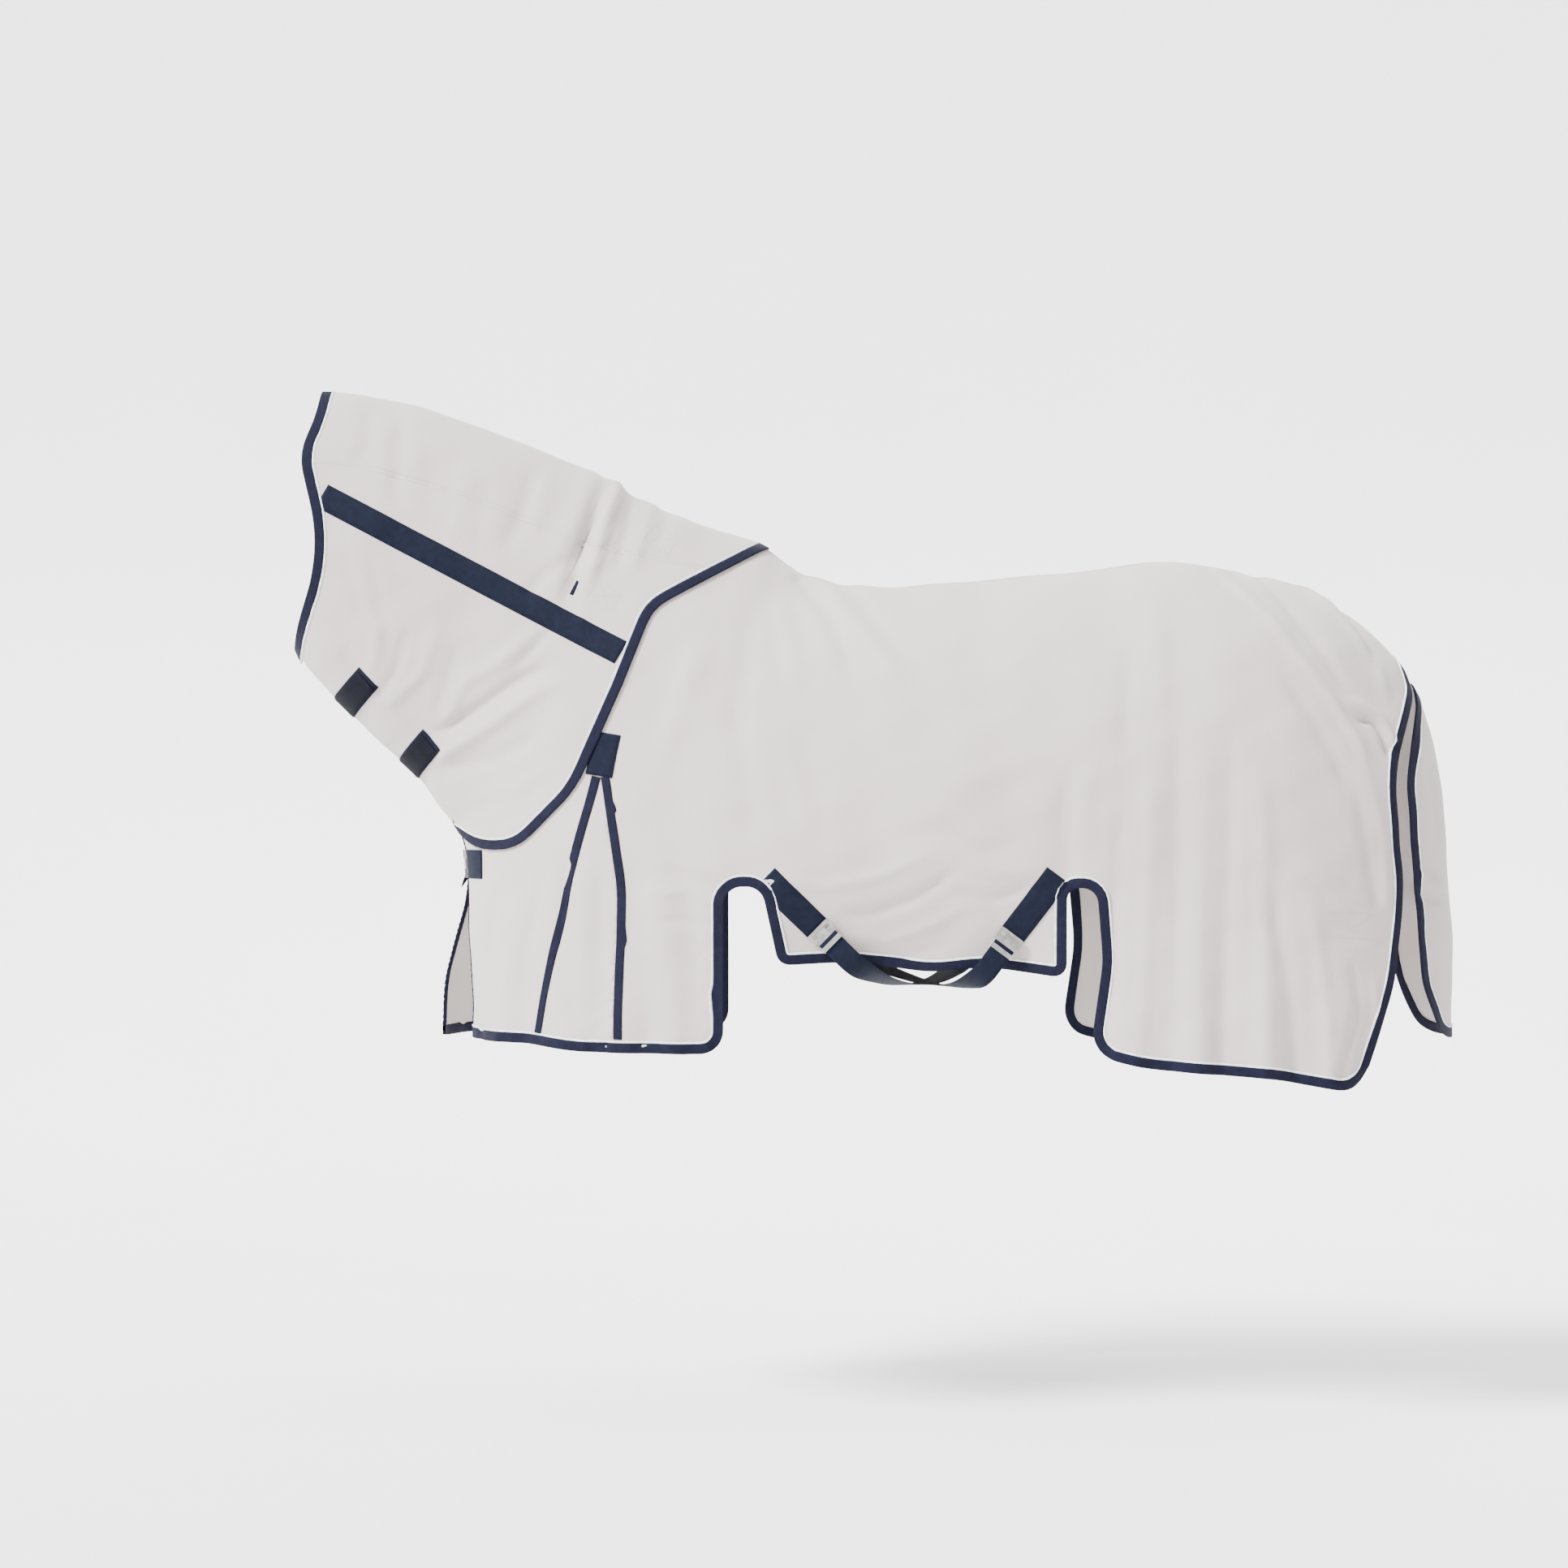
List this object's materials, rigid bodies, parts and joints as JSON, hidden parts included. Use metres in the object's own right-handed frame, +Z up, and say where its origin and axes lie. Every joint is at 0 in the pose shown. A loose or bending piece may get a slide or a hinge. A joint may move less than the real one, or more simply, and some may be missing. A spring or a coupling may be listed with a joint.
{
  "type": "fly sheet with detachable neck cover",
  "caption": "Light mesh fly sheet for a horse with a long neck cover, tail flap and crossed belly straps, in the shape it has when worn.",
  "frame": {"origin": "on the lining side of the cloth at the top of the withers, in the middle plane, where the horse's back holds the sheet up", "axes": "+X toward the tail, +Y toward the horse's right side, +Z up; the sheet hangs as on a standing horse"},
  "size_m": [2.2151, 0.7042, 1.3148],
  "materials": {
    "mesh_cloth": "matte woven mesh",
    "lining_cloth": "smooth lining",
    "navy_binding": "matte tape",
    "navy_webbing": "dense webbing",
    "nickel_steel": "dull nickel"
  },
  "bodies": {
    "sheet": {"side_panel_left": "mesh_cloth", "side_panel_right": "mesh_cloth", "spine_tape": "lining_cloth", "dock_patch": "lining_cloth", "gusset_left": "mesh_cloth", "gusset_right": "mesh_cloth", "gusset_front_binding_left": "navy_binding", "gusset_front_binding_right": "navy_binding", "gusset_rear_binding_left": "navy_binding", "gusset_rear_binding_right": "navy_binding", "gusset_tab_left": "navy_webbing", "gusset_tab_right": "navy_webbing", "hem_binding_left": "navy_binding", "hem_binding_right": "navy_binding", "neckline_binding_left": "navy_binding", "neckline_binding_right": "navy_binding", "front_edge_binding_left": "navy_binding", "front_edge_binding_right": "navy_binding", "chest_tab_left": "navy_webbing", "chest_tab_right": "navy_webbing", "chest_slot_plate": "nickel_steel", "surcingle_tab_front_left": "navy_webbing", "surcingle_tab_front_right": "navy_webbing", "surcingle_tab_rear_left": "navy_webbing", "surcingle_tab_rear_right": "navy_webbing", "surcingle_plate_front": "nickel_steel", "surcingle_plate_rear": "nickel_steel", "surcingle_loop_front": "nickel_steel", "surcingle_loop_rear": "nickel_steel", "surcingle_strap_front": "navy_webbing", "surcingle_strap_rear": "navy_webbing", "leg_tab_left": "navy_webbing", "leg_tab_right": "navy_webbing"},
    "tail_flap": {"tail_flap": "mesh_cloth", "tail_flap_binding": "navy_binding"},
    "neck_cover": {"neck_crest_panel": "mesh_cloth", "neck_side_left": "mesh_cloth", "neck_side_right": "mesh_cloth", "head_opening_binding": "navy_binding", "neck_rear_binding": "navy_binding", "neck_band_left": "navy_webbing", "neck_band_right": "navy_webbing", "neck_link_tab_left": "navy_webbing", "neck_link_tab_right": "navy_webbing", "throat_tab_upper": "navy_webbing", "throat_tab_lower": "navy_webbing", "throat_loop_upper": "nickel_steel", "throat_loop_lower": "nickel_steel"},
    "throat_strap_upper": {"throat_strap_upper": "navy_webbing"},
    "throat_strap_lower": {"throat_strap_lower": "navy_webbing"},
    "neck_link_ring_left": {"neck_link_ring_left": "nickel_steel"},
    "neck_link_ring_right": {"neck_link_ring_right": "nickel_steel"},
    "chest_hook": {"chest_hook": "nickel_steel"},
    "surcingle_hook_front": {"surcingle_hook_front": "nickel_steel"},
    "surcingle_hook_rear": {"surcingle_hook_rear": "nickel_steel"},
    "surcingle_slider_front": {"surcingle_slider_front": "nickel_steel"},
    "surcingle_slider_rear": {"surcingle_slider_rear": "nickel_steel"},
    "leg_ring_left": {"leg_ring_left": "nickel_steel"},
    "leg_ring_right": {"leg_ring_right": "nickel_steel"}
  },
  "joints": [
    {"name": "tail_flap_lift", "type": "hinge", "parent": "sheet", "child": "tail_flap", "pos_m": [1.204, 0, -0.219], "axis": [0, -1, 0], "range_deg": [0, 100]},
    {"name": "neck_cover_detach", "type": "slide", "parent": "sheet", "child": "neck_cover", "axis": [-0.891, 0, 0.454], "range_m": [0, 0.25]},
    {"name": "throat_strap_upper_peel", "type": "hinge", "parent": "neck_cover", "child": "throat_strap_upper", "pos_m": [-0.84192, -0.0115, -0.26214], "axis": [0.713, 0, -0.7012], "range_deg": [0, 110]},
    {"name": "throat_strap_lower_peel", "type": "hinge", "parent": "neck_cover", "child": "throat_strap_lower", "pos_m": [-0.71901, -0.0115, -0.38084], "axis": [0.728, 0, -0.6856], "range_deg": [0, 110]},
    {"name": "neck_link_ring_left_swing", "type": "hinge", "parent": "neck_cover", "child": "neck_link_ring_left", "pos_m": [-0.33598, -0.16866, -0.06851], "axis": [0.3912, 0.2925, 0.8726], "range_deg": [0, 60]},
    {"name": "neck_link_ring_right_swing", "type": "hinge", "parent": "neck_cover", "child": "neck_link_ring_right", "pos_m": [-0.33598, 0.16866, -0.06851], "axis": [-0.3912, 0.2925, -0.8726], "range_deg": [0, 60]},
    {"name": "chest_hook_turn", "type": "hinge", "parent": "sheet", "child": "chest_hook", "pos_m": [-0.61544, 0.002, -0.56344], "axis": [0.0893, 0, -0.996], "range_deg": [0, 75]},
    {"name": "surcingle_hook_front_lift", "type": "hinge", "parent": "sheet", "child": "surcingle_hook_front", "pos_m": [0.07898, -0.31528, -0.69284], "axis": [0.6991, -0.0337, 0.7143], "range_deg": [0, 75]},
    {"name": "surcingle_hook_rear_lift", "type": "hinge", "parent": "sheet", "child": "surcingle_hook_rear", "pos_m": [0.4052, -0.32577, -0.70599], "axis": [0.8, -0.0055, -0.6], "range_deg": [0, 75]},
    {"name": "surcingle_slider_front_slide", "type": "slide", "parent": "sheet", "child": "surcingle_slider_front", "axis": [0.7117, -0.0637, -0.6996], "range_m": [0, 0.025]},
    {"name": "surcingle_slider_rear_slide", "type": "slide", "parent": "sheet", "child": "surcingle_slider_rear", "axis": [-0.5959, -0.1242, -0.7934], "range_m": [0, 0.025]},
    {"name": "leg_ring_left_swing", "type": "hinge", "parent": "sheet", "child": "leg_ring_left", "pos_m": [1.09276, -0.24056, -0.67076], "axis": [0.1559, 0.1622, 0.9744], "range_deg": [0, 70]},
    {"name": "leg_ring_right_swing", "type": "hinge", "parent": "sheet", "child": "leg_ring_right", "pos_m": [1.09276, 0.24056, -0.67076], "axis": [-0.1559, 0.1622, -0.9744], "range_deg": [0, 70]}
  ]
}
